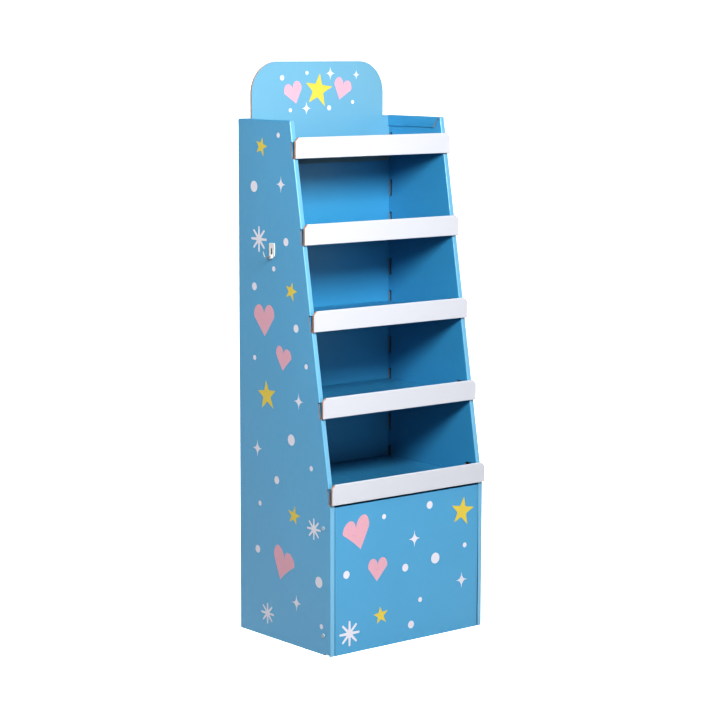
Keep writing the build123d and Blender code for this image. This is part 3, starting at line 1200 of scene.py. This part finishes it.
@dataclass
class Artwork:
    """All print on the stand: the scatter on three faces, and the same plain motifs on the header."""

    printer: Printer
    shelf: FinishShelf
    header_middle: float = 1372.0

    def faces(self) -> dict[str, PrintFace]:
        """The printed faces by name."""
        width = SIZES.half_width
        return {
            "left": PrintFace(Vector((-width, 0, 0)), Vector((0, -1, 0)), Vector((-1, 0, 0))),
            "right": PrintFace(Vector((width, 0, 0)), Vector((0, 1, 0)), Vector((1, 0, 0))),
            "front": PrintFace(Vector((0, SIZES.front_y, 0)), Vector((1, 0, 0)), Vector((0, -1, 0))),
            "header": PrintFace(Vector((0, SIZES.card_front, 0)), Vector((1, 0, 0)), Vector((0, -1, 0))),
        }

    def lay(self, face: str, ink: str, marks: list[Mark], slot: str) -> bpy.types.Object:
        """Print one ink's marks on a face."""
        return self.printer.lay(f"{face}_{ink}_print", self.faces()[face], marks, self.shelf.get(ink), slot)

    def scatter(self) -> list[bpy.types.Object]:
        """Print the scatter on both sides and on the plinth's front.

        Returns:
            The new pieces.
        """
        made = []
        for ink, marks in side_marks().items():
            made.append(self.lay("left", ink, marks, "printed_board"))
            made.append(self.lay("right", ink, [mark.mirrored() for mark in marks], "printed_board"))
        for ink, marks in front_marks().items():
            made.append(self.lay("front", ink, marks, "printed_board"))
        return made

    def header(self) -> list[bpy.types.Object]:
        """Print a star between two hearts on the header, with sparkles and dots round them.

        Returns:
            The new pieces.
        """
        middle = self.header_middle
        small = ((-118, 34, 13), (-38, 46, 10), (34, -44, 13), (112, -30, 10), (-92, -48, 10))
        layers = {
            "yellow": [Mark(Motif.STAR, -2, middle + 2, 92, 8)],
            "pink": [
                Mark(Motif.HEART, -82, middle - 4, 58, -12, 0.08, 0.10),
                Mark(Motif.HEART, 78, middle + 4, 58, 14, -0.08, -0.10),
            ],
            "white": [
                *(Mark(Motif.DOT, x, middle + z, size) for x, z, size in small),
                Mark(Motif.SPARKLE, 38, middle + 44, 34),
                Mark(Motif.SPARKLE, -40, middle - 44, 34),
                Mark(Motif.SPARKLE, 124, middle + 40, 26),
            ],
        }
        return [self.lay("header", ink, marks, "header_board") for ink, marks in layers.items()]


# Hardware ---------------------------------------------------------------------------------------

@dataclass
class Hardware:
    """The moulded rivets, the side hook and its wire prong."""

    shelf: FinishShelf
    round_edge: float = 0.0004
    slot_half_width: float = 0.0022
    slot_top: float = 0.9915
    slot_floor: float = 0.0023
    sharp_angle: float = math.radians(50)

    def in_slot(self, centre: Vector) -> bool:
        """True for a face down inside the plate's slot."""
        low, high = node_box("side_hook")
        near_middle = abs(centre.y - (low.y + high.y) / 2) < self.slot_half_width
        return near_middle and centre.x > -SIZES.half_width - self.slot_floor and centre.z < self.slot_top

    def hook(self) -> bpy.types.Object:
        """Copy the hook's solid and round its moulded edges.

        Returns:
            The finished hook.
        """
        mesh = clean_copy("side_hook")
        for face in mesh.faces:
            face.smooth = True
            # Faces down inside the slot take the near-black finish, which is painted shade.
            face.material_index = int(self.in_slot(face.calc_center_median()))
        piece = cast("moulded_hook", mesh, (self.shelf.get("plastic"), self.shelf.get("slot_painted_shade")))
        bevel = piece.modifiers.new("moulded_edge", "BEVEL")
        bevel.width = self.round_edge
        bevel.segments = 3
        bevel.limit_method = "ANGLE"
        bevel.angle_limit = self.sharp_angle
        shade_folds(piece)
        return settle(piece, "white_plastic", "side_hook")

    def dress_nodes(self) -> None:
        """Give the rivets and the prong their finish."""
        for node, key in (("plinth_rivets", "rivet"), ("hook_prong", "wire")):
            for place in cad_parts[node].material_slots:
                place.material = self.shelf.get(key)


# Studio -----------------------------------------------------------------------------------------

@dataclass(frozen=True)
class Lamp:
    """One soft square lamp: where it hangs, the point that it faces, its side and its watts."""

    name: str
    place: Colour
    aim: Colour
    size: float
    power: float

    def hang(self) -> bpy.types.Object:
        """Hang the lamp and return it."""
        data = bpy.data.lights.new(self.name, "AREA")
        data.size = self.size
        data.energy = self.power
        made = bpy.data.objects.new(self.name, data)
        made.location = self.place
        made.rotation_euler = (Vector(self.aim) - Vector(self.place)).to_track_quat("-Z", "Y").to_euler()
        bpy.context.scene.collection.objects.link(made)
        return made


LAMPS = (
    Lamp("key_lamp", (-1.2, -2.15, 2.15), (0, 0, 1.4), 0.7, 87),
    Lamp("left_fill", (-4.0, 0.9, 1.2), (0, 0, 0.7), 1.5, 5),
    Lamp("right_fill", (4.0, 1.2, 1.2), (0, 0, 0.7), 1.5, 40),
    Lamp("rear_fill", (0.8, 4.0, 1.2), (0, 0, 0.7), 1.5, 55),
)


@dataclass
class Studio:
    """Floor, light and camera."""

    place: tuple[float, float, float] = (-3.5995, -4.3812, 1.4997)
    heading: float = 39.359
    down: float = 8.079
    roll: float = 0.135
    lens: float = 112.52
    sensor: float = 36.0
    floor_size: float = 600.0
    floor_glow: float = 0.62
    horizon_glow: float = 1.02
    sky_glow: float = 0.03
    ground_glow: float = 0.03
    ground_end: float = 0.45
    glow_start: float = 0.49
    horizon: float = 0.5
    glow_height: float = 0.09
    glow_fade: float = 1.4
    sun_power: float = 1.1
    sun_spread: float = math.radians(40)
    sun_aim: Colour = (0.05, 0.1, -1.0)

    def camera(self) -> bpy.types.Object:
        """Set up the camera.

        Returns:
            The camera.
        """
        turn, tilt, roll = (math.radians(value) for value in (self.heading, self.down, self.roll))
        ahead = Vector((math.sin(turn) * math.cos(tilt), math.cos(turn) * math.cos(tilt), -math.sin(tilt)))
        flat_right = ahead.cross(Vector((0, 0, 1))).normalized()
        flat_up = flat_right.cross(ahead)
        right = flat_right * math.cos(roll) + flat_up * math.sin(roll)
        up = flat_up * math.cos(roll) - flat_right * math.sin(roll)
        data = bpy.data.cameras.new("studio_camera")
        data.lens = self.lens
        data.sensor_width = self.sensor
        made = bpy.data.objects.new("studio_camera", data)
        axes = Matrix((right, up, -ahead)).transposed().to_4x4()
        made.matrix_world = Matrix.Translation(self.place) @ axes
        bpy.context.scene.collection.objects.link(made)
        bpy.context.scene.camera = made
        return made

    def floor(self) -> bpy.types.Object:
        """Lay a plain pale floor.

        Returns:
            The floor.
        """
        mesh = bmesh.new()
        bmesh.ops.create_grid(mesh, x_segments=1, y_segments=1, size=self.floor_size / 2)
        sheet = ShaderSheet("studio_floor")
        sheet.dress(sheet.blend(sheet.noise(2.0, 2.0), opaque((0.9,) * 3), opaque((0.93,) * 3)), 0.9)
        sheet.shader.inputs["Emission Color"].default_value = opaque((1.0,) * 3)
        sheet.shader.inputs["Emission Strength"].default_value = self.floor_glow
        made = cast("studio_floor", mesh, (sheet.material,))
        made.visible_diffuse = False
        bpy.context.scene.collection.objects.link(made)
        return made

    def sky(self) -> bpy.types.World:
        """Make a studio sky with a white band above the horizon and a soft grey elsewhere.

        Returns:
            The sky.
        """
        world = bpy.data.worlds.new("studio_sky")
        world.use_nodes = True
        tree = world.node_tree
        place = tree.nodes.new("ShaderNodeTexCoord")
        split = tree.nodes.new("ShaderNodeSeparateXYZ")
        ramp = tree.nodes.new("ShaderNodeValToRGB")
        levels = (
            (self.ground_end, self.ground_glow),
            (self.glow_start, self.horizon_glow),
            (self.horizon + self.glow_height, self.horizon_glow),
            (self.horizon + self.glow_fade * self.glow_height, self.sky_glow),
        )
        for number, (spot, glow) in enumerate(levels):
            stops = ramp.color_ramp.elements
            stop = stops[number] if number < 2 else stops.new(spot)
            stop.position = spot
            stop.color = (glow, glow, glow, 1.0)
        half = tree.nodes.new("ShaderNodeMapRange")
        half.inputs["From Min"].default_value = -1.0
        tree.links.new(place.outputs["Generated"], split.inputs[0])
        tree.links.new(split.outputs["Z"], half.inputs["Value"])
        tree.links.new(half.outputs["Result"], ramp.inputs["Fac"])
        tree.links.new(ramp.outputs["Color"], tree.nodes["Background"].inputs["Color"])
        return world

    def light(self) -> None:
        """Set the sky, a high sun, and the soft lamps."""
        scene = bpy.context.scene
        scene.world = self.sky()
        scene.view_settings.view_transform = "Standard"
        scene.view_settings.look = "High Contrast"
        sun = bpy.data.lights.new("high_sun", "SUN")
        sun.energy = self.sun_power
        sun.angle = self.sun_spread
        high = bpy.data.objects.new("high_sun", sun)
        high.rotation_euler = Vector(self.sun_aim).to_track_quat("-Z", "Y").to_euler()
        scene.collection.objects.link(high)
        for lamp in LAMPS:
            lamp.hang()


def main() -> None:
    """Build the stand's looks piece by piece and report each one."""
    logging.basicConfig(level=logging.INFO, format="%(name)s: %(message)s")
    studio = Studio()
    studio.camera()
    studio.floor()
    studio.light()
    shelf = FinishShelf()
    trays = [
        ShelfTray(f"white_lipped_tray_{number}", f"shelf_tray_{number}", "tray_board")
        for number in range(1, 6)
    ]
    sheets = (BodyWrap(), BackCard(), *trays, PlinthPanel(), PlinthBrace())
    pieces = [sheet.build(shelf) for sheet in sheets]
    art = Artwork(Printer(), shelf)
    hardware = Hardware(shelf)
    pieces += [*art.scatter(), *art.header(), hardware.hook()]
    hardware.dress_nodes()
    for piece in pieces:
        log.info("%s: %d faces", piece.name, len(piece.data.polygons))


if __name__ == "__main__":
    main()
